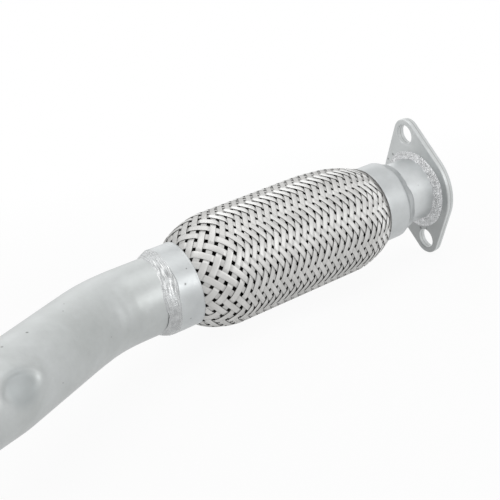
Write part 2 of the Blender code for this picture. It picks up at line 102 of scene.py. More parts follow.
# Weave, whose rows lie loose on the rear shoulder and close from there on
RIBBONS = 22
RIBBON_WIDTH = 3.25
SHOULDER_RIBBON_WIDTH = 4.1
RIBBON_THICKNESS = 0.5
RIBBON_LIFT = 0.26
RIBBON_LIFT_AT_COLLAR = 0.12
RIBBON_CROWN = 0.03
FLOAT_CROWN = 0.05
ROW_PITCH = 2.85
LOOSE_ROW_PITCH = 4.35
LOOSE_UNTIL = 14.0
TIGHT_FROM = 36.0
RUN_UNDER_COLLAR = 3.0
STEEPEST_SLOPE = 2.5

# The most that a ribbon fills of the room between its neighbours, and the ribbons' distance in the texture
WIDEST_SHARE = 0.93
TEXTURE_STRIP = 10.0

# A ribbon's section as shares of its half width and its thickness, and its stations within each crossing
RIBBON_SECTION = (
    (-1.0, 0.34), (-0.93, 0.5), (-0.4, 0.5), (0.4, 0.5), (0.93, 0.5), (1.0, 0.34),
    (1.0, -0.5), (-1.0, -0.5),
)
CELL_STEPS = (-0.5, -0.41, -0.36, 0.0, 0.36, 0.41)
TURN_OVER = 0.1

# How much painted highlight the ribbons get near the top and on the front shoulder, how much painted shade
# they get by the front collar, and where each sets in
TOP_HIGHLIGHT = 0.9
TOP_HIGHLIGHT_HEIGHTS = (0.86, 0.97)
TOP_HIGHLIGHT_FROM = (8, 30)
FRONT_HIGHLIGHT = 0.8
FRONT_HIGHLIGHT_FROM = (126, 146)
COLLAR_SHADE = 0.8
COLLAR_SHADE_FROM = (BRAID_LENGTH - 7, BRAID_LENGTH - 2)

# Bellows and liner
BELLOWS_START = -20.0
BELLOWS_END = 173.0
BELLOWS_NECK = 26.2
BELLOWS_ROOT = 28.5
BELLOWS_UNDER_BRAID = 2.9
BELLOWS_PITCH = 6.5
BELLOWS_WALL = 0.5
LINER_START = -4.0
LINER_END = 160.0
LINER_RADIUS = 24.05
LINER_WAVE = 0.2
LINER_PITCH = 3.0
LINER_WALL = 0.9
TUBE_STEP = 0.5

# Collars, stub and flange
COLLAR_RADIUS = 28.8
COLLAR_BORE = 27.4
REAR_COLLAR_END = -17.0
FRONT_COLLAR_END = 174.0
FRONT_LIP_END = 180.5
STUB_RADIUS = 23.5
STUB_BORE = 21.9
STUB_START = 161.0
STUB_END = 209.0
SEAT_GAP = 0.3
WELD_SEAT = STUB_RADIUS - 0.05
FLANGE_REAR = 204.0
FLANGE_FRONT = 210.0
FLANGE_BODY = 35.0
FLANGE_EAR = 11.64
BOLT_REACH = 40.8
BOLT_HOLE = 7.4
FLANGE_BORE = 23.8
HOLE_CHAMFER = 0.4
RIM_SEAM = 206.9

# Edges that wander round the axis, as (degrees, millimetres), where 90 degrees is the top and 180 faces -Y
REAR_CROWN_LINE = (
    (20, -16.5), (60, -16.0), (100, -15.8), (128, -15.4), (145, -15.1), (160, -14.9),
    (181, -17.3), (195, -18.0), (221, -18.3), (270, -18.5), (330, -17.5),
)
REAR_TOE_LINE = (
    (20, -23.0), (60, -22.6), (99, -22.8), (130, -22.6), (151, -24.4), (175, -26.6),
    (194, -25.6), (209, -25.5), (224, -27.2), (240, -28.5), (280, -28.0), (340, -24.0),
)
FRONT_LIP_LINE = (
    (0, 180.5), (100, 181.2), (120, 180.6), (150, 179.4), (164, 179.8),
    (172, 181.4), (186, 181.0), (200, 180.8), (229, 182.5), (270, 181.0),
)
FLANGE_CROWN_LINE = (
    (0, 29.4), (53, 30.3), (84, 28.3), (107, 27.9), (143, 27.9), (158, 29.0), (173, 29.7),
    (188, 29.3), (205, 29.6), (222, 30.1), (238, 30.7), (256, 30.8), (274, 31.2), (310, 29.6),
)

# Rear bead round the axis: the step at its toe, how far it bulges and how strong its drawn-out ridges are
REAR_TOE_STEP = ((150, -0.06), (186, -0.06), (196, 0.4), (214, 0.5), (224, 0.1), (236, -0.06))
REAR_BEAD_BULGE = (
    (0, 0.6), (90, 0.3), (130, 0.3), (160, 0.5), (200, 0.9), (235, 1.3), (270, 1.2), (320, 0.8),
)
REAR_BEAD_RIDGE = (
    (0, 0.12), (95, 0.05), (118, 0.12), (130, 0.3), (155, 0.25), (172, 0.12), (200, 0.07), (300, 0.1),
)

# A stretch beside the rear bead's crown that the weld doesn't fill: its angle, reach and depth
REAR_BEAD_HOLLOW = (radians(162), radians(25), 0.9)

# Single dark specks, as their place and half their size
PIPE_MARKS = (
    (-120.7, -51.7, 23.9, 1.0),
    (-138.4, -61.3, 24.5, 0.9),
    (-88.7, -27.5, 24.4, 0.5),
    (-92.8, -35.4, 22.9, 0.5),
    (-70.2, -37.2, -2.6, 0.5),
    (-114.1, -66.5, -6.4, 0.5),
    (-61.8, -31.4, 0.7, 0.3),
    (-94.2, -51.1, 10.1, 0.25),
)
COLLAR_MARKS = ((-5.3, -24.3, 15.4, 0.6), (-10.3, -27.9, 7.3, 0.9), (-11.0, -23.3, -16.9, 0.6))
FLANGE_MARKS = (
    (203.8, 18.1, 25.4, 1.2),
    (203.8, 25.0, 21.6, 1.0),
    (203.8, 3.1, -32.5, 1.4),
    (203.8, -3.7, -32.3, 0.8),
)

# Where painted shade greys the coating: round the dent, and on the flange's rear face from a height down
DENT_SHADE_SPOT = (-140.0, -80.5, 5.5)
DENT_SHADE_REACH = 14.0
SHADE_FACE_TOP = 22.0

# Colours that are mixed into the metals
# Grey of the painted shade on the coatings' lower sides and on the flange's lower rear face
SHADE_GREY = (0.16, 0.165, 0.165, 1)
# Bluish grey of the painted shade in the dent
DENT_SHADE_GREY = (0.30, 0.33, 0.34, 1)
SEAM_BROWN = (0.2, 0.19, 0.17, 1)
SPECK_BLACK = (0.08, 0.08, 0.08, 1)
# Painted highlight, glint and shade colours of the welds
WELD_HIGHLIGHT = (0.92, 0.93, 0.93, 1)
WELD_GLINT = (0.97, 0.97, 0.97, 1)
WELD_SHADE = (0.22, 0.22, 0.22, 1)
WELD_FRECKLE = (0.16, 0.16, 0.16, 1)
# Painted shade and painted highlight of the ribbons
RIBBON_SHADE = (0.035, 0.033, 0.03, 1)
RIBBON_HIGHLIGHT = (0.98, 0.98, 0.97, 1)
WHITE = (1, 1, 1, 1)

# Camera in the part's axes: its place, and how it is rolled, tilted up from straight down and turned about Z
CAMERA_PLACE = (-254.1, -581.5, 182.0)
CAMERA_ROLL = radians(-14.307)
CAMERA_TILT = radians(74.823)
CAMERA_HEADING = radians(-27.987)
FOCAL_PIXELS = 1000
PICTURE_PIXELS = 500

# Floor in the row frame and metres: its reach, its whiteness, and where and how steeply it falls away
FLOOR_REACH = 6
FLOOR_WHITE = 0.93
FLOOR_FALLS_FROM = 0.06
FLOOR_LEVEL_FROM = -0.34
FLOOR_FALL = 0.231
FLOOR_STEP = 0.01

# What the lights aim at, in the part's axes, and the lights as (name, place from there, width, height, watts)
# in the row frame and metres
LIGHTS_AIM = (30.0, -20.0, 0.0)
LIGHTS = (
    ("overhead", (-0.1, -0.1, 1.0), 1.1, 0.9, 2.8),
    ("key", (0.27, -0.80, 0.24), 0.45, 0.36, 1.3),
    ("back", (0.35, 0.9, 0.6), 0.9, 0.6, 0.9),
)

# Strength of the even light from all sides
STUDIO_LEVEL = 0.5


def part_frame():
    """The part's own axes and origin as they lie in the row frame, in metres. They come from its hinges:
    rear_bend turns about Y, flange_bend about Z, and the braid's middle lies halfway between them."""
    hinges = {joint["name"]: joint for joint in frame["joints"]}
    rear, front = hinges["rear_bend"], hinges["flange_bend"]
    y_axis = np.array(rear["axis"]) / np.linalg.norm(rear["axis"])
    x_axis = np.cross(y_axis, front["axis"])
    x_axis = x_axis / np.linalg.norm(x_axis)
    middle = (np.array(rear["pos_m"]) + np.array(front["pos_m"])) / 2
    return np.array([x_axis, y_axis, np.cross(x_axis, y_axis)]), middle - MIDDLE * MM * x_axis


PART_AXES, PART_ORIGIN = part_frame()


def to_row(points):
    """Points in the part's axes and millimetres, as metres in the row frame."""
    return PART_ORIGIN + np.asarray(points, float) * MM @ PART_AXES


# Meshes


def linked(name, data):
    """A new object in the scene."""
    made = bpy.data.objects.new(name, data)
    bpy.context.scene.collection.objects.link(made)
    return made


def add_mesh(name, points, faces, material, uv, tone=None):
    """A smooth object from points in the part's axes, with its texture coordinates in millimetres. A tone for
    each point tells its material how much painted shade (up to 1) or painted highlight (down to -1) it has
    there."""
    mesh = bpy.data.meshes.new(name)
    mesh.from_pydata(to_row(points).tolist(), [], faces)
    mesh.shade_smooth()
    mesh.materials.append(material)
    layer = mesh.uv_layers.new(name="along_and_round")
    corners = np.zeros(len(mesh.loops), np.int64)
    mesh.loops.foreach_get("vertex_index", corners)
    layer.data.foreach_set("uv", np.asarray(uv, np.float32)[corners].ravel())
    if tone is not None:
        tones = mesh.attributes.new("tone", "FLOAT", "POINT")
        tones.data.foreach_set("value", np.asarray(tone, np.float32))
    return linked(name, mesh)


def outward(made):
    """Turns the faces outwards."""
    builder = bmesh.new()
    builder.from_mesh(made.data)
    bmesh.ops.recalc_face_normals(builder, faces=builder.faces)
    builder.to_mesh(made.data)
    builder.free()
    return made


def grid_faces(rows, columns, close_rows=False, close_columns=True):
    """Quads over a grid of points that is stored row by row."""
    r = np.arange(rows if close_rows else rows - 1)
    c = np.arange(columns if close_columns else columns - 1)
    rr, cc = np.meshgrid(r, c, indexing="ij")
    nr, nc = (rr + 1) % rows, (cc + 1) % columns
    quads = np.stack([rr * columns + cc, nr * columns + cc, nr * columns + nc, rr * columns + nc], -1)
    return quads.reshape(-1, 4).tolist()


def smooth_step(value, low, high):
    t = np.clip((value - low) / (high - low), 0, 1)
    return t * t * (3 - 2 * t)


def rise_and_fall(value, reach):
    """1 between a reach's middle two values and 0 outside its outer two."""
    return smooth_step(value, *reach[:2]) * (1 - smooth_step(value, *reach[2:]))


def turns_of(sides):
    """Angles all the way round."""
    return np.linspace(0, 2 * pi, sides, endpoint=False)


def round_off(profile, radius, steps=4):
    """A closed (x, radius) profile with every corner rounded."""
    profile = [np.array(p, float) for p in profile]
    out = []
    for k, corner in enumerate(profile):
        before = profile[k - 1] - corner
        after = profile[(k + 1) % len(profile)] - corner
        reach = min(radius, np.linalg.norm(before) * 0.45, np.linalg.norm(after) * 0.45)
        start = corner + before / np.linalg.norm(before) * reach
        end = corner + after / np.linalg.norm(after) * reach
        for step in range(steps + 1):
            t = step / steps
            out.append((1 - t) ** 2 * start + 2 * t * (1 - t) * corner + t * t * end)
    return out


def spread(profile, step):
    """More points on a closed profile, no further apart than a step."""
    out = []
    for here, following in zip(profile, profile[1:] + profile[:1]):
        here, following = np.array(here, float), np.array(following, float)
        count = max(1, int(np.ceil(np.linalg.norm(following - here) / step)))
        out += [here + (following - here) * k / count for k in range(count)]
    return out


def turned_points(profile, sides, swell=None, slide=None):
    """Points turned about X from (x, radius) pairs, with a swell of the radius and a slide along X."""
    angle = turns_of(sides)
    x = np.repeat(profile[:, :1], sides, 1)
    radius = np.repeat(profile[:, 1:2], sides, 1)
    if swell is not None:
        radius = radius + swell(profile[:, 0][:, None], angle[None, :])
    if slide is not None:
        x = x + slide(profile[:, 0][:, None], angle[None, :])
    points = np.stack([x, radius * np.cos(angle), radius * np.sin(angle)], -1)
    return points.reshape(-1, 3)


def turned_piece(name, profile, sides, material, swell=None, slide=None):
    """A closed profile turned about X."""
    profile = np.asarray(profile, float)
    points = turned_points(profile, sides, swell, slide)
    run = np.concatenate([[0], np.cumsum(np.linalg.norm(np.diff(profile, axis=0), axis=1))])
    across = np.arange(sides) * 2 * pi * COLLAR_RADIUS / sides
    uv = np.stack(np.meshgrid(run, across, indexing="ij"), -1).reshape(-1, 2)
    faces = [face[::-1] for face in grid_faces(len(profile), sides, close_rows=True)]
    return outward(add_mesh(name, points, faces, material, uv))


def wave_noise(seed, count, low, high):
    """A smooth repeating noise round a circle, made of sine waves."""
    rng = np.random.default_rng(seed)
    orders = rng.integers(low, high, count)
    phases = rng.uniform(0, 2 * pi, count)
    sizes = rng.uniform(0.4, 1.0, count)
    sizes = sizes / np.sqrt((sizes**2).sum() / 2)

    def waves(angle, shift=0.0):
        total = np.zeros(np.broadcast(angle, shift).shape)
        for order, phase, size in zip(orders, phases, sizes):
            total = total + size * np.sin(order * angle + phase + shift * (1 + order % 3))
        return total

    return waves


def around(pairs):
    """A smooth closed line round the axis through (degrees, value) pairs, as a function of the angle."""
    degrees, values = zip(*pairs)
    fine = np.arange(0, 360, 2.0)
    line = np.interp(fine, degrees, values, period=360)
    line = np.convolve(np.concatenate([line[-3:], line, line[:3]]), np.ones(7) / 7, "valid")
    return lambda angle: np.interp(np.degrees(angle) % 360, fine, line, period=360)


def at(value, angle):
    """A value that is either a number or a function of the angle."""
    return value(angle) if callable(value) else value + 0 * angle


# Shader nodes


def node(tree, kind, inputs=None, **settings):
    """A shader node with its settings, and its inputs by name or number as values or as sockets to link."""
    made = tree.nodes.new(kind)
    for key, value in settings.items():
        setattr(made, key, value)
    for key, value in (inputs or {}).items():
        socket = made.inputs[key]
        if isinstance(value, bpy.types.NodeSocket):
            tree.links.new(value, socket)
        else:
            socket.default_value = value
    return made


def math_node(tree, operation, a, b=0.0):
    return node(tree, "ShaderNodeMath", {0: a, 1: b}, operation=operation).outputs[0]


def times(tree, a, b):
    return math_node(tree, "MULTIPLY", a, b)


def ramp(tree, factor, low, high, start, end):
    """Maps a value from one range to another, clamped."""
    inputs = {"Value": factor, "From Min": low, "From Max": high, "To Min": start, "To Max": end}
    return node(tree, "ShaderNodeMapRange", inputs).outputs["Result"]


def mixed(tree, factor, a, b):
    return node(tree, "ShaderNodeMix", {0: factor, 6: a, 7: b}, data_type="RGBA").outputs[2]


def colour_ramp(tree, factor, low, high, start, end):
    """Goes from one colour to another over a range of a value."""
    return mixed(tree, ramp(tree, factor, low, high, 0.0, 1.0), (*start, 1), (*end, 1))


def scaled(tree, colour, scale):
    inputs = {0: colour, "Scale": scale}
    return node(tree, "ShaderNodeVectorMath", inputs, operation="SCALE").outputs[0]


def distance_to(tree, place, spot):
    inputs = {0: place, 1: spot}
    return node(tree, "ShaderNodeVectorMath", inputs, operation="DISTANCE").outputs["Value"]


def noise(tree, place, scale, detail, roughness, stretch=None):
    if stretch is not None:
        place = node(tree, "ShaderNodeVectorMath", {0: place, 1: stretch}, operation="MULTIPLY").outputs[0]
    inputs = {"Vector": place, "Scale": scale, "Detail": detail, "Roughness": roughness}
    return node(tree, "ShaderNodeTexNoise", inputs).outputs[0]


def part_place(tree):
    """Coordinates in the part's own axes, in millimetres."""
    place = node(tree, "ShaderNodeTexCoord").outputs["Object"]
    inputs = {0: place, 1: tuple(PART_ORIGIN)}
    moved = node(tree, "ShaderNodeVectorMath", inputs, operation="SUBTRACT").outputs[0]
    parts = []
    for axis in PART_AXES:
        dot = node(tree, "ShaderNodeVectorMath", {0: moved, 1: tuple(axis)}, operation="DOT_PRODUCT")
        parts.append(times(tree, dot.outputs["Value"], 1 / MM))
    return node(tree, "ShaderNodeCombineXYZ", dict(enumerate(parts))).outputs[0]


def own_place(tree):
    """The mesh's own coordinates: along it and round it, in millimetres."""
    return node(tree, "ShaderNodeUVMap", uv_map="along_and_round").outputs[0]


def coordinate(tree, place, axis):
    return node(tree, "ShaderNodeSeparateXYZ", {0: place}).outputs[axis]


def new_material(name, metallic=0.0):
    material = bpy.data.materials.new(name)
    material.use_nodes = True
    tree = material.node_tree
    shader = tree.nodes["Principled BSDF"]
    shader.inputs["Metallic"].default_value = metallic
    return material, tree, shader


def finish_metal(tree, shader, colour, roughness, height, strength, distance):
    """Links colour, roughness and a bump of a strength and of a depth in metres."""
    bump = node(tree, "ShaderNodeBump", {"Height": height, "Strength": strength, "Distance": distance})
    tree.links.new(colour, shader.inputs["Base Color"])
    tree.links.new(roughness, shader.inputs["Roughness"])
    tree.links.new(bump.outputs[0], shader.inputs["Normal"])


# Metals


def specks(tree, place, marks):
    """Where dark specks lie: a few scattered at random, and single ones at chosen places."""
    cells = node(tree, "ShaderNodeTexVoronoi", {"Vector": place, "Scale": 0.05}).outputs["Distance"]
    dark = ramp(tree, cells, 0.012, 0.03, 0.45, 0.0)
    for x, y, z, size in marks:
        off = distance_to(tree, place, (x, y, z))
        dark = math_node(tree, "MAXIMUM", dark, ramp(tree, off, 0.4 * size, 1.1 * size, 0.7, 0.0))
    return dark


def coated_steel(
    name,
    light,
    dark,
    roughness,
    metallic,
    grain=0.25,
    brushed=0.0,
    underside_shade=0.0,
    marks=(),
    shade_and_marks=None,
):
    """Satin zinc-coated steel: cloudy patches, fine grain, dark specks and, where it is brushed, hoop marks.
    One argument sets how much painted shade greys it towards the bottom; another is a function that paints
    shade, and on the flange a seam, on a place of its own."""
    material, tree, shader = new_material(name, metallic)
    place = part_place(tree)
    clouds = noise(tree, place, 0.035, 4.0, 0.6)
    patches = noise(tree, place, 0.22, 5.0, 0.65)
    fine = noise(tree, place, 1.6, 4.0, 0.6)
    colour = colour_ramp(tree, clouds, 0.35, 0.68, dark, light)
    colour = scaled(tree, colour, ramp(tree, patches, 0.3, 0.75, 0.94, 1.03))
    # Painted shade: the coating is greyed towards the bottom, where less light falls
    if underside_shade:
        low = ramp(tree, coordinate(tree, place, "Z"), -23.0, 3.0, underside_shade, 0.0)
        colour = mixed(tree, low, colour, SHADE_GREY)
    if shade_and_marks is not None:
        colour = shade_and_marks(tree, place, colour)
    colour = mixed(tree, specks(tree, place, marks), colour, SPECK_BLACK)
    rough = ramp(tree, patches, 0.3, 0.7, roughness - 0.05, roughness + 0.07)
    rough = math_node(tree, "ADD", rough, ramp(tree, fine, 0.3, 0.7, -0.03, 0.03))
    height = math_node(tree, "ADD", times(tree, fine, 0.5), patches)
    if brushed:
        hoops = noise(tree, place, 1.0, 3.0, 0.6, stretch=(3.0, 0.06, 0.06))
        height = math_node(tree, "ADD", height, times(tree, hoops, brushed))
    finish_metal(tree, shader, colour, rough, height, grain, 0.00012)
    return material


def dent_shade(tree, place, colour):
    """Paints shade round the dent: a darker, bluish-grey patch over the pressed hollow."""
    off = distance_to(tree, place, DENT_SHADE_SPOT)
    return mixed(tree, ramp(tree, off, 0.55 * DENT_SHADE_REACH, DENT_SHADE_REACH, 0.4, 0.0), colour, DENT_SHADE_GREY)


def flange_shade_and_seam(tree, place, colour):
    """Paints shade on the flange's rear face, darker towards the bottom, and draws the thin seam round its
    rim.
    """
    x = coordinate(tree, place, "X")
    z = coordinate(tree, place, "Z")
    # Painted shade: the rear face greys towards the bottom, where less light falls on it
    face_shade = ramp(tree, z, SHADE_FACE_TOP - 50, SHADE_FACE_TOP, 0.55, 0.0)
    face_shade = times(tree, face_shade, ramp(tree, x, FLANGE_REAR + 0.3, FLANGE_REAR + 0.8, 1.0, 0.0))
    colour = mixed(tree, face_shade, colour, SHADE_GREY)
    off_seam = math_node(tree, "ABSOLUTE", math_node(tree, "SUBTRACT", x, RIM_SEAM))
    return mixed(tree, ramp(tree, off_seam, 0.15, 0.4, 0.5, 0.0), colour, SEAM_BROWN)


def pipe_steel():
    tones = (0.57, 0.59, 0.59), (0.50, 0.52, 0.515)
    return coated_steel("pipe_steel", *tones, 0.44, 0.75, underside_shade=0.16, marks=PIPE_MARKS, shade_and_marks=dent_shade)


def collar_steel():
    tones = (0.59, 0.61, 0.615), (0.52, 0.54, 0.545)
    return coated_steel("collar_steel", *tones, 0.42, 0.8, brushed=0.3, underside_shade=0.08, marks=COLLAR_MARKS)


def stub_steel_painted_light():
    # A lighter copy of the collar steel: its lighter tones are painted light on the stub
    tones = (0.67, 0.69, 0.695), (0.60, 0.62, 0.625)
    return coated_steel("stub_steel_painted_light", *tones, 0.42, 0.8, brushed=0.3, underside_shade=0.12)


def flange_steel():
    tones = (0.66, 0.68, 0.68), (0.57, 0.59, 0.59)
    return coated_steel("flange_steel", *tones, 0.40, 0.75, grain=0.5, marks=FLANGE_MARKS, shade_and_marks=flange_shade_and_seam)


def weld_metal(name, light, drawn, grainy):
    """Bright weld metal with duller blotches. Drawn is how strong its streaks along the bead are, painted as
    highlights and shade that show most above the middle, and how much painted shade greys it at the bottom.
    Grainy is how strong its grains are, with bright flecks painted as glints and soot-grey freckles, both
    fading towards the bottom."""
    material, tree, shader = new_material(name, 0.8)
    place = part_place(tree)
    z = coordinate(tree, place, "Z")
    streaks = noise(tree, own_place(tree), 1.0, 5.0, 0.6, stretch=(1.1, 0.09, 1.0))
    grains = noise(tree, place, 1.1, 5.0, 0.7)
    blotches = noise(tree, place, 0.25, 3.0, 0.6)
    colour = colour_ramp(tree, blotches, 0.35, 0.65, [0.76 * tone for tone in light], light)
    # Painted shade: greyer towards the bottom
    colour = mixed(tree, times(tree, ramp(tree, z, -16.0, 4.0, 0.35, 0.0), drawn), colour, WELD_SHADE)

    # Painted highlights and shade along the drawn streaks, strongest above the middle
    lit_streak_band = times(tree, ramp(tree, z, 1.0, 11.0, 0.2, 1.0), ramp(tree, z, 21.0, 26.0, 1.0, 0.1))
    lit_streak_band = times(tree, lit_streak_band, drawn)
    bright = times(tree, ramp(tree, streaks, 0.5, 0.62, 0.0, 0.9), lit_streak_band)
    colour = mixed(tree, bright, colour, WELD_HIGHLIGHT)
    streak_shade = times(tree, ramp(tree, streaks, 0.36, 0.46, 0.6, 0.0), lit_streak_band)
    colour = mixed(tree, streak_shade, colour, WELD_SHADE)

    # Painted glints: bright flecks, strongest towards the top; the dark freckles are the weld's own
    contrast = times(tree, ramp(tree, z, -14.0, 6.0, 0.4, 1.0), grainy)
    glints = times(tree, ramp(tree, grains, 0.54, 0.60, 0.0, 0.9), contrast)
    colour = mixed(tree, glints, colour, WELD_GLINT)
    freckles = times(tree, ramp(tree, grains, 0.36, 0.46, 0.75, 0.0), contrast)
    colour = mixed(tree, freckles, colour, WELD_FRECKLE)

    rough = ramp(tree, grains, 0.35, 0.6, 0.42, 0.22)
    height = math_node(tree, "ADD", times(tree, grains, 0.4 + 0.8 * grainy), times(tree, streaks, drawn))
    finish_metal(tree, shader, colour, rough, height, 0.8, 0.0005)
    return material


def ribbon_steel():
    """Flat stainless ribbon: lines drawn along it, tones that vary along and between ribbons, painted shade
    in the gaps, on edges that face down and by the front collar, and painted highlights on floats."""
    material, tree, shader = new_material("ribbon_steel", 0.8)
    along = own_place(tree)
    lines = noise(tree, along, 1.0, 4.0, 0.6, stretch=(0.05, 3.5, 1.0))
    length_tone = noise(tree, along, 1.0, 2.0, 0.5, stretch=(0.06, 0.1, 1.0))
    clouds = noise(tree, part_place(tree), 0.05, 3.0, 0.6)
    colour = colour_ramp(tree, length_tone, 0.3, 0.7, (0.57, 0.567, 0.555), (0.70, 0.697, 0.685))
    shade = ramp(tree, lines, 0.3, 0.7, 0.93, 1.04)
    shade = times(tree, shade, ramp(tree, clouds, 0.35, 0.65, 0.95, 1.03))
    colour = scaled(tree, colour, shade)
    tone = node(tree, "ShaderNodeAttribute", attribute_name="tone").outputs["Fac"]
    # Painted shade and painted highlights, from the tone
    colour = mixed(tree, ramp(tree, tone, 0.0, 1.0, 0.0, 0.85), colour, RIBBON_SHADE)
    colour = mixed(tree, ramp(tree, tone, -1.0, 0.0, 1.0, 0.0), colour, RIBBON_HIGHLIGHT)
    shader.inputs["Specular Tint"].default_value = (0.4, 0.4, 0.4, 1)
    finish_metal(tree, shader, colour, ramp(tree, lines, 0.3, 0.7, 0.44, 0.56), lines, 0.3, 0.0001)
    return material


def thin_steel_painted_dark():
    """Stainless of the bellows and the liner, painted near black to stand for the shade inside the braid."""
    material, tree, shader = new_material("bellows_steel_painted_dark", 0.8)
    clouds = noise(tree, part_place(tree), 0.2, 4.0, 0.6)
    # Painted shade: near black, so the gaps in the braid read dark
    colour = colour_ramp(tree, clouds, 0.3, 0.7, (0.02, 0.019, 0.018), (0.06, 0.057, 0.054))
    finish_metal(tree, shader, colour, ramp(tree, clouds, 0.3, 0.7, 0.3, 0.5), clouds, 0.2, 0.0003)
    return material


# Rear end


def pipe_line(distances):
    """Points and headings of the pipe's centre line at distances from its end inside the collar."""
    points, headings = [], []
    for distance in distances:
        point, heading, left = np.array([PIPE_START, 0.0]), pi, distance
        for length, turn in PIPE_RUNS:
            run = min(left, length)
            swing = radians(turn) * run / length
            chord = run if turn == 0 else 2 * BEND_RADIUS * sin(abs(swing) / 2)
            middle = heading + swing / 2
            point = point + chord * np.array([cos(middle), sin(middle)])
            heading += swing
            left -= run
        points.append(point)
        headings.append(heading)
    return np.array(points), np.array(headings)


def pipe_press(distance, angle):
    """How far the pipe's wall is pressed in: the dent, with a lip above it, and faint waves from bending.
    The inside of the bend stands out instead, so that the bend begins sooner there."""
    turn = (angle + pi) % (2 * pi) - pi
    along = (PIPE_LENGTH - distance - DENT_FROM_TAIL) / DENT_HALF_LENGTH
    across = (turn - DENT_ANGLE) * PIPE_RADIUS / DENT_HALF_WIDTH
    upper = smooth_step(across, -0.5, 0.3)
    reach = np.hypot(along, across * (0.6 + 0.4 * upper))
    dent = DENT_DEPTH * (1 - smooth_step(reach, 0.25 + 0.5 * upper, 1.0))
    lip = DENT_LIP * upper * np.exp(-(((reach - 1.1) / 0.13) ** 2))
    inside = np.clip(np.cos(turn), 0, 1) ** 2
    waves = BEND_WAVES * rise_and_fall(distance, BEND_WAVES_REACH) * np.sin(distance / 2.6) * inside
    full = BEND_FULLNESS * rise_and_fall(distance, BEND_FULL_REACH) * inside
    return dent - lip + waves - full


def bent_pipe(material):
    """The bent pipe, outside and bore, with its tail's outer edge broken."""
    sides = 144
    distances = np.linspace(0, PIPE_LENGTH, 150)
    centres, headings = pipe_line(distances)
    angle = turns_of(sides) + pi
    towards = np.stack([-np.sin(headings), np.cos(headings)], -1)
    chamfer = PIPE_END_CHAMFER * smooth_step(distances, PIPE_LENGTH - 0.5, PIPE_LENGTH)[:, None]
    press = pipe_press(distances[:, None], angle[None, :])
    rings = []
    uv = []
    for radius, order in ((PIPE_RADIUS - press - chamfer, 1), (PIPE_BORE - press, -1)):
        flat = centres[:, None, :] + (radius * np.cos(angle))[..., None] * towards[:, None, :]
        points = np.concatenate([flat, (radius * np.sin(angle))[..., None]], -1)
        rings.append(points[::order])
        place = np.stack(np.broadcast_arrays(distances[:, None], (angle * PIPE_RADIUS)[None, :]), -1)
        uv.append(place[::order])
    points = np.concatenate(rings)
    faces = grid_faces(len(points), sides, close_rows=True)
    uv = np.concatenate(uv).reshape(-1, 2)
    return outward(add_mesh("bent_pipe_skin", points.reshape(-1, 3), faces, material, uv))


def rear_collar(material):
    """The rear collar: a sleeve with faint dents, whose rear edge wanders with the weld's crown."""
    profile = [
        (0.0, COLLAR_BORE),
        (0.0, COLLAR_RADIUS),
        (REAR_COLLAR_END, COLLAR_RADIUS),
        (REAR_COLLAR_END, COLLAR_BORE),
    ]
    fine = spread(round_off(profile, 0.45), 0.5)
    crown = around(REAR_CROWN_LINE)
    dents = wave_noise(5, 6, 2, 7)

    def swell(x, angle):
        return 0.05 * (dents(angle, x / 9) - 2) * (x < -1)

    def slide(x, angle):
        return (crown(angle) - REAR_COLLAR_END) * smooth_step(-x, 8, -REAR_COLLAR_END)

    return turned_piece("rear_collar_skin", fine, 256, material, swell, slide)


# Flexible section


def braid_radius(x):
    """The outer radius of the braid: level along the middle, drawn in to both collars, tucked under them."""
    to_end = np.minimum(x, BRAID_LENGTH - x)
    share = np.clip(to_end / SHOULDER, 0, 1)
    rise = (1 - (1 - share) ** SHOULDER_POWER) ** (1 / SHOULDER_POWER)
    radius = BRAID_EDGE_RADIUS + (BRAID_RADIUS - BRAID_EDGE_RADIUS) * rise
    tuck = np.clip(-to_end / BRAID_TUCK, 0, 1)
    return radius - (BRAID_EDGE_RADIUS - BRAID_TUCKED_RADIUS) * tuck


def shoulder_sag(x, angle):
    """How much lower the front shoulder lies on top than a round one would."""
    along = rise_and_fall(x, FRONT_SAG_REACH)
    return FRONT_SAG * along * np.clip(np.cos(angle - FRONT_SAG_ANGLE), 0, 1) ** 2


def looseness(x):
    """1 on the rear shoulder, where the weave is loose, and 0 where it is close."""
    return 1 - smooth_step(x, LOOSE_UNTIL, TIGHT_FROM)


def row_scale():
    """The rows of the weave against X, and the pitch between them."""
    x = np.linspace(-6, BRAID_LENGTH + 6, 3000)
    pitch = ROW_PITCH + (LOOSE_ROW_PITCH - ROW_PITCH) * looseness(x)
    rows = np.concatenate([[0], np.cumsum(np.diff(x) / (0.5 * (pitch[1:] + pitch[:-1])))])
    return x, pitch, rows - np.interp(0, x, rows)


def ribbon_level(ribbon, run, family):
    """+1 where a ribbon lies over the one that it crosses, -1 where it lies under, and a bulge for floats."""

    def lies_over(cell):
        column = family * (2 * ribbon + cell)
        return np.where((column - 1) % 4 < 2, 1.0, -1.0) * family

    cell = np.round(run)
    away = run - cell
    here = lies_over(cell)
    beside = lies_over(cell + np.where(away >= 0, 1, -1))
    level = here + (beside - here) * smooth_step(np.abs(away) - 0.5, -TURN_OVER, TURN_OVER)
    bulge = np.where(here == beside, smooth_step(np.abs(away), 0, 0.5), 0) * (here > 0)
    return level, bulge


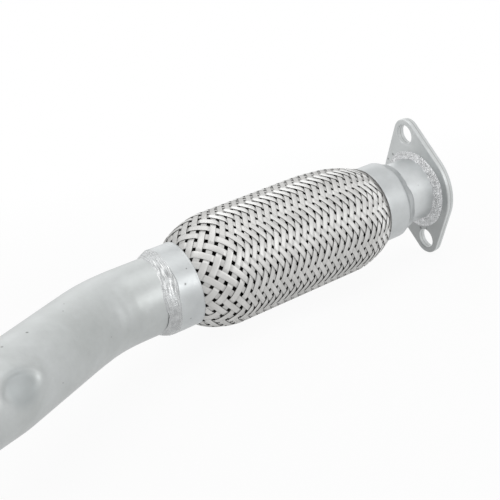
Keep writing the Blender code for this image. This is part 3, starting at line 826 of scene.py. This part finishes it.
def ribbon_painted_light(ribbon, family, run, x, angle, level):
    """How much painted shade (up to 1) or painted highlight (down to -1) a ribbon gets. Shade is painted on
    edges that face down, where the overhead light doesn't reach, on ribbons where they pass under others and
    by the front collar. Highlights are painted on floats of the first set near the top, and on both sets on
    the front shoulder."""
    across, thick = np.array(RIBBON_SECTION).T
    facing_up = smooth_step(np.sign(across) * family * np.cos(angle), 0.0, 0.9)
    lit_edge = 0.92 * facing_up * smooth_step(np.sin(angle), -0.3, 0.4)
    edge_shade = np.clip((0.5 - thick) * 4, 0, 1) * (1 - lit_edge)
    dark = np.maximum(0.15 * np.clip((1 - level) / 2, 0, 1), edge_shade)
    dark = np.maximum(dark, COLLAR_SHADE * smooth_step(x, *COLLAR_SHADE_FROM))
    near_top = smooth_step(np.sin(angle), *TOP_HIGHLIGHT_HEIGHTS) * smooth_step(x, *TOP_HIGHLIGHT_FROM)
    painted_highlight = TOP_HIGHLIGHT * (family > 0) * near_top
    streaky = 0.5 + 0.5 * np.sin(3.1 * ribbon + 1.7 * np.round(run))
    painted_highlight = np.maximum(painted_highlight, FRONT_HIGHLIGHT * streaky * smooth_step(x, *FRONT_HIGHLIGHT_FROM))
    return np.where(dark < 0.1, -painted_highlight * smooth_step(level, 0.2, 0.9), dark)


def joined_ribbons(name, ribbons, material):
    """One piece made of ribbons, each a grid of points with its texture coordinates and tones."""
    points, uvs, tones, faces, start = [], [], [], [], 0
    for ribbon_points, ribbon_uv, ribbon_tones in ribbons:
        rows, columns = ribbon_points.shape[:2]
        faces += (np.array(grid_faces(rows, columns)) + start).tolist()
        last = start + (rows - 1) * columns
        faces += [list(range(start, start + columns)), list(range(last, last + columns))]
        points.append(ribbon_points.reshape(-1, 3))
        uvs.append(ribbon_uv.reshape(-1, 2))
        tones.append(ribbon_tones.ravel())
        start += rows * columns
    points, uvs, tones = (np.concatenate(values) for values in (points, uvs, tones))
    woven = outward(add_mesh(name, points, faces, material, uvs, tones))
    woven.data.set_sharp_from_angle(angle=radians(40))
    return woven


def braid(material):
    """Two sets of flat ribbons that wind round the section in opposite directions and pass over two, under
    two, cut into two halves. A run counts the crossings along a ribbon, as the rows do along X."""
    scale_x, scale_pitch, scale_rows = row_scale()
    first_row = np.interp(-RUN_UNDER_COLLAR, scale_x, scale_rows)
    last_row = np.interp(BRAID_LENGTH + RUN_UNDER_COLLAR, scale_x, scale_rows)
    middle_row = np.round(np.interp(MIDDLE, scale_x, scale_rows))
    cells = np.arange(np.floor(first_row), np.ceil(last_row) + 1)
    runs = (cells[:, None] + np.array(CELL_STEPS)).ravel()
    runs = runs[(runs >= first_row) & (runs <= last_row)]
    cut = int(np.argmin(np.abs(runs - middle_row)))

    x_centre = np.interp(runs, scale_rows, scale_x)
    spacing = pi * braid_radius(x_centre) / RIBBONS
    pitch = np.interp(x_centre, scale_x, scale_pitch)
    apart = 2 * spacing * pitch / np.hypot(spacing, pitch)
    ribbon_width = RIBBON_WIDTH + (SHOULDER_RIBBON_WIDTH - RIBBON_WIDTH) * looseness(x_centre)
    half = 0.5 * np.minimum(ribbon_width / apart, WIDEST_SHARE)
    run_mm = np.concatenate([[0], np.cumsum(np.diff(runs) * np.hypot(spacing, pitch)[1:])])

    across, thick = np.array(RIBBON_SECTION).T
    crown = np.clip(1 - across**2, 0, 1) * (thick > 0)
    width = half[:, None] * across[None, :]
    run = runs[:, None] + 0 * width
    x = np.interp(run - width, scale_rows, scale_x)
    near = 0.05
    slope = (braid_radius(x + near) - braid_radius(x - near)) / (2 * near)
    slope = np.clip(slope, -STEEPEST_SLOPE, STEEPEST_SLOPE)
    length = np.sqrt(1 + slope**2)
    pressed = 1 - smooth_step(np.minimum(x, BRAID_LENGTH - x), -1.0, 6.0)
    lift = RIBBON_LIFT + (RIBBON_LIFT_AT_COLLAR - RIBBON_LIFT) * pressed

    rear, front = [], []
    for family in (1, -1):
        for ribbon in range(RIBBONS):
            level, bulge = ribbon_level(ribbon, run, family)
            height = lift * (level - 1) + RIBBON_THICKNESS * (thick - 0.5) + RIBBON_CROWN * (crown - 1)
            height = height + FLOAT_CROWN * (bulge - 1)
            angle = family * (2 * ribbon + run + width) * pi / RIBBONS
            radius = braid_radius(x) - shoulder_sag(x, angle) + height / length
            lifted_x = x - height * slope / length
            points = np.stack([lifted_x, radius * np.cos(angle), radius * np.sin(angle)], -1)
            strip = TEXTURE_STRIP * (ribbon + RIBBONS * (family < 0)) + across * RIBBON_WIDTH / 2
            uv = np.stack(np.broadcast_arrays(run_mm[:, None], strip[None, :]), -1)
            tone = ribbon_painted_light(ribbon, family, run, x, angle, level)
            rear.append((points[: cut + 1], uv[: cut + 1], tone[: cut + 1]))
            front.append((points[cut:], uv[cut:], tone[cut:]))
    return joined_ribbons("braid_rear", rear, material), joined_ribbons("braid_front", front, material)


def tube_halves(name, x, radius, wall, material, swell=None):
    """A thin tube inside the braid in two halves, from its outer radius at each X."""
    made = []
    for end, keep in (("rear", x <= MIDDLE), ("front", x >= MIDDLE)):
        outside = list(zip(x[keep], radius[keep]))
        inside = [(px, r - wall) for px, r in outside]
        made.append(turned_piece(f"{name}_{end}", outside + inside[::-1], 96, material, swell))
    return made


def bellows(material):
    """The corrugated tube under the braid, which sags with the braid's front shoulder."""
    x = np.arange(BELLOWS_START, BELLOWS_END + 0.01, TUBE_STEP)
    crest = np.maximum(braid_radius(np.clip(x, 0, BRAID_LENGTH)) - BELLOWS_UNDER_BRAID, BELLOWS_ROOT)
    wave = 0.5 - 0.5 * np.cos(2 * pi * (x - MIDDLE) / BELLOWS_PITCH + pi)
    fade = smooth_step(np.minimum(x, BRAID_LENGTH - x), 7, 18)
    radius = BELLOWS_NECK + fade * (BELLOWS_ROOT - BELLOWS_NECK + (crest - BELLOWS_ROOT) * wave)

    def swell(x, angle):
        return -shoulder_sag(x, angle)

    return tube_halves("bellows", x, radius, BELLOWS_WALL, material, swell)


def liner(material):
    """The wound metal hose inside the bellows."""
    x = np.arange(LINER_START, LINER_END + 0.01, TUBE_STEP)
    radius = LINER_RADIUS + LINER_WAVE * np.sin(2 * pi * x / LINER_PITCH)
    return tube_halves("liner", x, radius, LINER_WALL, material)


# Flange end


def front_collar(material):
    """The front collar: a smooth sleeve whose lip is drawn in to the stub, kinked a little by the rolling."""
    lip = STUB_RADIUS + SEAT_GAP
    profile = [
        (BRAID_LENGTH, COLLAR_BORE),
        (BRAID_LENGTH, COLLAR_RADIUS),
        (FRONT_COLLAR_END - 0.6, COLLAR_RADIUS),
        (FRONT_COLLAR_END + 1.2, COLLAR_RADIUS - 1.4),
        (FRONT_LIP_END - 0.5, lip + 1.7),
        (FRONT_LIP_END, lip + 1.2),
        (FRONT_LIP_END, WELD_SEAT),
        (FRONT_COLLAR_END, COLLAR_BORE),
    ]
    fine = spread(round_off(profile, 0.7), 0.5)
    lip_line = around(FRONT_LIP_LINE)
    kinks = wave_noise(8, 8, 3, 14)
    slow = wave_noise(2, 5, 1, 5)

    def swell(x, angle):
        on_lip = smooth_step(x, FRONT_COLLAR_END - 2.5, FRONT_COLLAR_END + 0.5)
        return on_lip * 0.14 * (kinks(angle, x / 6) - 1.2) + 0.04 * (slow(angle, x / 12) - 2.2)

    def slide(x, angle):
        return (lip_line(angle) - FRONT_LIP_END) * smooth_step(x, FRONT_COLLAR_END, FRONT_LIP_END)

    return turned_piece("front_collar_skin", fine, 256, material, swell, slide)


def stub(material):
    """The short straight pipe between the front collar and the flange."""
    profile = [
        (STUB_START, STUB_BORE),
        (STUB_START, STUB_RADIUS),
        (STUB_END, STUB_RADIUS),
        (STUB_END, STUB_BORE),
    ]
    return turned_piece("stub_skin", spread(round_off(profile, 0.3), 1.0), 160, material)


def flange_curve(inset):
    """The flange's outline, drawn in by an inset: a round body and two ears, joined by straight lines."""
    body, ear, reach = FLANGE_BODY - inset, FLANGE_EAR - inset, BOLT_REACH
    flank = asin((body - ear) / reach)
    outline = []
    for centre, radius, start, end in (
        (0, body, -flank, flank),
        (reach, ear, flank, pi - flank),
        (0, body, pi - flank, pi + flank),
        (-reach, ear, pi + flank, 2 * pi - flank),
    ):
        count = max(2, round((end - start) / radians(3.0)))
        for k in range(count + 1):
            angle = start + (end - start) * k / count
            outline.append((radius * cos(angle), centre + radius * sin(angle)))
    return outline


def flange(material):
    """The flange plate: sheared rim with a thin step near its front face, broken edges and three holes."""
    rim = [
        (FLANGE_REAR, 0.75),
        (FLANGE_REAR + 0.18, 0.38),
        (FLANGE_REAR + 0.55, 0.10),
        (FLANGE_REAR + 1.1, 0.0),
        (FLANGE_FRONT - 2.7, 0.0),
        (FLANGE_FRONT - 2.5, 0.22),
        (FLANGE_FRONT - 1.0, 0.24),
        (FLANGE_FRONT - 0.35, 0.45),
        (FLANGE_FRONT, 0.9),
    ]
    hole_wall = (
        (FLANGE_REAR, HOLE_CHAMFER),
        (FLANGE_REAR + HOLE_CHAMFER, 0),
        (FLANGE_FRONT - HOLE_CHAMFER, 0),
        (FLANGE_FRONT, HOLE_CHAMFER),
    )
    holes = (
        (0.0, FLANGE_BORE, 160),
        (BOLT_REACH, BOLT_HOLE, 72),
        (-BOLT_REACH, BOLT_HOLE, 72),
    )
    builder = bmesh.new()
    walls = [[[builder.verts.new((x, y, z)) for y, z in flange_curve(inset)] for x, inset in rim]]
    for centre, radius, sides in holes:
        turns = [2 * pi * k / sides for k in range(sides)]
        rings = []
        for x, wider in hole_wall:
            reach = radius + wider
            rings.append([builder.verts.new((x, reach * cos(a), centre + reach * sin(a))) for a in turns])
        walls.append(rings)
    for rings in walls:
        for here, following in zip(rings, rings[1:]):
            for k in range(len(here)):
                m = (k + 1) % len(here)
                builder.faces.new((here[k], here[m], following[m], following[k]))
    for end in (0, -1):
        edges = []
        for rings in walls:
            ring = rings[end]
            edges += [builder.edges.get((ring[k], ring[(k + 1) % len(ring)])) for k in range(len(ring))]
        bmesh.ops.triangle_fill(builder, use_beauty=True, use_dissolve=False, edges=edges)
    bmesh.ops.recalc_face_normals(builder, faces=builder.faces)
    for vert in builder.verts:
        vert.co = Vector(to_row(np.array(vert.co)))
    mesh = bpy.data.meshes.new("flange_skin")
    builder.to_mesh(mesh)
    builder.free()
    mesh.shade_smooth()
    mesh.set_sharp_from_angle(angle=radians(24))
    mesh.materials.append(material)
    return linked("flange_skin", mesh)


# Welds


def weld_bead(
    name, material, toe, crown, convexity, runs, scallop_height, grain, ridge, drift, seed, steps, hollow=None
):
    """A weld bead from its toe on the tube to its crown, both as (x, radius), each a number or a function of
    the angle. Its overlapping runs are low scallops with uneven toes, with fine ripples and ridges drawn out
    along them. A hollow = (angle, reach, depth) is a stretch beside the crown that the weld doesn't fill."""
    sides = 720
    angle = turns_of(sides)[None, :]
    t = np.linspace(0, 1, steps)[:, None]
    toe_x, toe_radius, crown_x, crown_radius = (at(value, angle) for value in (*toe, *crown))
    across, up = crown_x - toe_x, crown_radius - toe_radius
    length = np.hypot(across, up)
    out_x = -np.abs(up) / length * np.sign(across)
    out_r = np.abs(across) / length
    slow = wave_noise(seed, 7, 2, 9)
    middling = wave_noise(seed + 1, 11, 9, 30)
    fine = wave_noise(seed + 2, 14, 50, 110)
    grit = wave_noise(seed + 3, 16, 110, 260)

    phase = runs * (angle + 0.25 * (2 * t - 1) ** 2) + 0.9 * slow(angle)
    scallop = 1 - 0.75 * np.abs(2 * ((phase / (2 * pi)) % 1.0) - 0.75) ** 1.6
    inside = np.sin(pi * t) ** 0.5
    height = at(convexity, angle) * 4 * t * (1 - t) * (0.8 + 0.1 * slow(angle))
    height = height + inside * scallop_height * (scallop - 1.0 + 0.25 * middling(angle, 2 * t))
    height = height + inside * grain * (0.5 * fine(angle, 6 * t) + 0.45 * grit(angle, 14 * t) - 0.6)
    drawn_out = 0.6 * slow(angle, 13 * t) + 0.3 * middling(angle, 19 * t) - 0.6
    height = height + inside * at(ridge, angle) * drawn_out
    if hollow is not None:
        centre, reach, depth = hollow
        off = (angle - centre + pi) % (2 * pi) - pi
        beside = np.exp(-(((t - 0.68) / 0.28) ** 2)) * np.clip(1 - (off / reach) ** 2, 0, 1) ** 0.6
        height = height - depth * beside

    toe_shift = drift * (0.2 * (middling(angle) + slow(angle)) + 0.1 * fine(angle))
    x = toe_x + across * t + height * out_x + toe_shift * (1 - t) * np.sign(across)
    radius = np.maximum(toe_radius + up * t + height * out_r, toe_radius)
    x, radius, turn = np.broadcast_arrays(x, radius, angle)
    shell = np.stack([x, radius * np.cos(turn), radius * np.sin(turn)], -1)
    base = np.stack([x[-1], toe_radius[0] * np.cos(turn[0]), toe_radius[0] * np.sin(turn[0])], -1)
    points = np.concatenate([base[None], shell])
    run = np.arange(steps + 1)[:, None] * length / steps
    uv = np.stack(np.broadcast_arrays(run, angle * toe_radius), -1)
    faces = grid_faces(steps + 1, sides, close_rows=True)
    return outward(add_mesh(name, points.reshape(-1, 3), faces, material, uv.reshape(-1, 2)))


def rear_weld(material):
    """The bead from the bent pipe up to the rear collar."""
    crown_line = around(REAR_CROWN_LINE)
    toe_step = around(REAR_TOE_STEP)
    return weld_bead(
        "rear_bead",
        material,
        toe=(around(REAR_TOE_LINE), lambda angle: PIPE_RADIUS + toe_step(angle)),
        crown=(lambda angle: crown_line(angle) + 0.7, COLLAR_RADIUS + 0.03),
        convexity=around(REAR_BEAD_BULGE),
        runs=11,
        scallop_height=0.15,
        grain=0.05,
        ridge=around(REAR_BEAD_RIDGE),
        drift=0.8,
        seed=11,
        hollow=REAR_BEAD_HOLLOW,
        steps=48,
    )


def front_weld(material):
    """The small bead between the front collar's lip and the stub."""
    lip_line = around(FRONT_LIP_LINE)
    return weld_bead(
        "front_bead",
        material,
        toe=(lambda angle: lip_line(angle) + 1.5, WELD_SEAT),
        crown=(lambda angle: lip_line(angle) - 0.3, WELD_SEAT + 1.0),
        convexity=0.12,
        runs=40,
        scallop_height=0.08,
        grain=0.03,
        ridge=0.05,
        drift=0.5,
        seed=23,
        steps=10,
    )


def flange_weld(material):
    """The wide bead between the stub and the flange."""
    return weld_bead(
        "flange_bead",
        material,
        toe=(FLANGE_REAR - 3.4, WELD_SEAT),
        crown=(FLANGE_REAR + 0.05, around(FLANGE_CROWN_LINE)),
        convexity=0.8,
        runs=29,
        scallop_height=0.3,
        grain=0.34,
        ridge=0.1,
        drift=1.1,
        seed=31,
        steps=36,
    )


# The studio


def seen(tree):
    """1 for what the camera sees directly, in a reflection or through glass, otherwise 0."""
    rays = node(tree, "ShaderNodeLightPath").outputs
    seen_by = math_node(tree, "MAXIMUM", rays["Is Camera Ray"], rays["Is Glossy Ray"])
    return math_node(tree, "MAXIMUM", seen_by, rays["Is Transmission Ray"])


def white_floor():
    """A pale floor that reads as white and keeps the object's shadow. Beyond the rear end it falls away,
    which leaves room for the bent pipe where it tips down."""
    material, tree, shader = new_material("floor")
    shader.inputs["Base Color"].default_value = (0.9, 0.9, 0.9, 1)
    shader.inputs["Roughness"].default_value = 0.9
    shader.inputs["Specular IOR Level"].default_value = 0.0
    glow = node(tree, "ShaderNodeEmission", {"Color": WHITE, "Strength": 1.0}).outputs[0]
    place = node(tree, "ShaderNodeTexCoord").outputs["Object"]
    away = node(tree, "ShaderNodeVectorMath", {0: place}, operation="LENGTH").outputs["Value"]
    share = times(tree, seen(tree), ramp(tree, away, 0.25, 0.75, FLOOR_WHITE, 1.0))
    mix = node(tree, "ShaderNodeMixShader", {0: share, 1: shader.outputs[0], 2: glow}).outputs[0]
    tree.links.new(mix, tree.nodes["Material Output"].inputs["Surface"])
    x = np.arange(FLOOR_FALLS_FROM, FLOOR_LEVEL_FROM, -FLOOR_STEP)
    z = -FLOOR_STEP * np.cumsum(FLOOR_FALL * smooth_step(FLOOR_FALLS_FROM - x, 0, 0.08))
    line = [(FLOOR_REACH, 0), *zip(x.tolist(), z.tolist()), (-FLOOR_REACH, float(z[-1]))]
    points = [(px, y, pz) for px, pz in line for y in (-FLOOR_REACH, FLOOR_REACH)]
    mesh = bpy.data.meshes.new("floor")
    mesh.from_pydata(points, [], grid_faces(len(line), 2, close_columns=False))
    mesh.shade_smooth()
    mesh.materials.append(material)
    return linked("floor", mesh)


def soft_light(name, centre, target, width, height, watts):
    lamp = bpy.data.lights.new(name, "AREA")
    lamp.shape = "RECTANGLE"
    lamp.size = width
    lamp.size_y = height
    lamp.energy = watts
    made = linked(name, lamp)
    towards = (Vector(target) - Vector(centre)).to_track_quat("-Z", "Y")
    made.matrix_world = Matrix.LocRotScale(Vector(centre), towards, None)
    return made


def sky(level):
    """Even studio light, and pure white where the camera looks past the floor."""
    world = bpy.data.worlds.new("studio")
    world.use_nodes = True
    tree = world.node_tree
    background = tree.nodes["Background"]
    background.inputs["Color"].default_value = WHITE
    tree.links.new(ramp(tree, seen(tree), 0, 1, level, 1.0), background.inputs["Strength"])
    bpy.context.scene.world = world


def camera():
    """The photograph's camera."""
    lens = bpy.data.cameras.new("camera")
    lens.sensor_width = 36.0
    lens.lens = lens.sensor_width * FOCAL_PIXELS / PICTURE_PIXELS
    lens.clip_start = 0.02
    rolled = Matrix.Rotation(CAMERA_ROLL, 3, "Z")
    tilted = Matrix.Rotation(CAMERA_TILT, 3, "X") @ rolled
    turned = Matrix.Rotation(CAMERA_HEADING, 3, "Z") @ tilted
    made = linked("camera", lens)
    made.matrix_world = Matrix.LocRotScale(Vector(to_row(CAMERA_PLACE)), Matrix(PART_AXES.T) @ turned, None)
    bpy.context.scene.camera = made


# Assembly


def skin(made, body, node_name):
    """A rigid piece that stands for a CAD node."""
    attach(made, body)
    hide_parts(node_name)


def halves(made, node_name):
    """The two halves of a piece that bends: their placing is baked into their meshes and the CAD node is
    hidden.
    """
    rear, front = made
    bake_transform(rear)
    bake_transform(front)
    for half in made:
        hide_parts(node_name)


def build():
    collar_metal = collar_steel()
    rear_weld_metal = weld_metal("rear_weld_metal", (0.60, 0.615, 0.62), drawn=1.0, grainy=0.07)
    flange_weld_metal = weld_metal("flange_weld_metal", (0.78, 0.79, 0.80), drawn=0.15, grainy=1.0)
    thin = thin_steel_painted_dark()

    skin(bent_pipe(pipe_steel()), "rear_end", "bent_pipe")
    skin(rear_collar(collar_metal), "rear_end", "rear_collar")
    skin(rear_weld(rear_weld_metal), "rear_end", "rear_collar_weld")

    skin(front_collar(collar_metal), "flange_end", "front_collar")
    skin(front_weld(collar_metal), "flange_end", "front_collar_weld")
    skin(stub(stub_steel_painted_light()), "flange_end", "flange_stub")
    skin(flange_weld(flange_weld_metal), "flange_end", "flange_weld")
    skin(flange(flange_steel()), "flange_end", "flange")

    halves(braid(ribbon_steel()), "outer_braid")
    halves(bellows(thin), "bellows")
    halves(liner(thin), "inner_liner")
    for name in ("liner_rear_sleeve", "liner_front_sleeve"):
        sleeve = frame["nodes"][name]
        sleeve.data.materials.clear()
        sleeve.data.materials.append(thin)


def studio():
    white_floor()
    aim = to_row(LIGHTS_AIM)
    for name, place, width, height, watts in LIGHTS:
        soft_light(name, aim + np.array(place), aim, width, height, watts)
    sky(STUDIO_LEVEL)
    camera()


build()
studio()
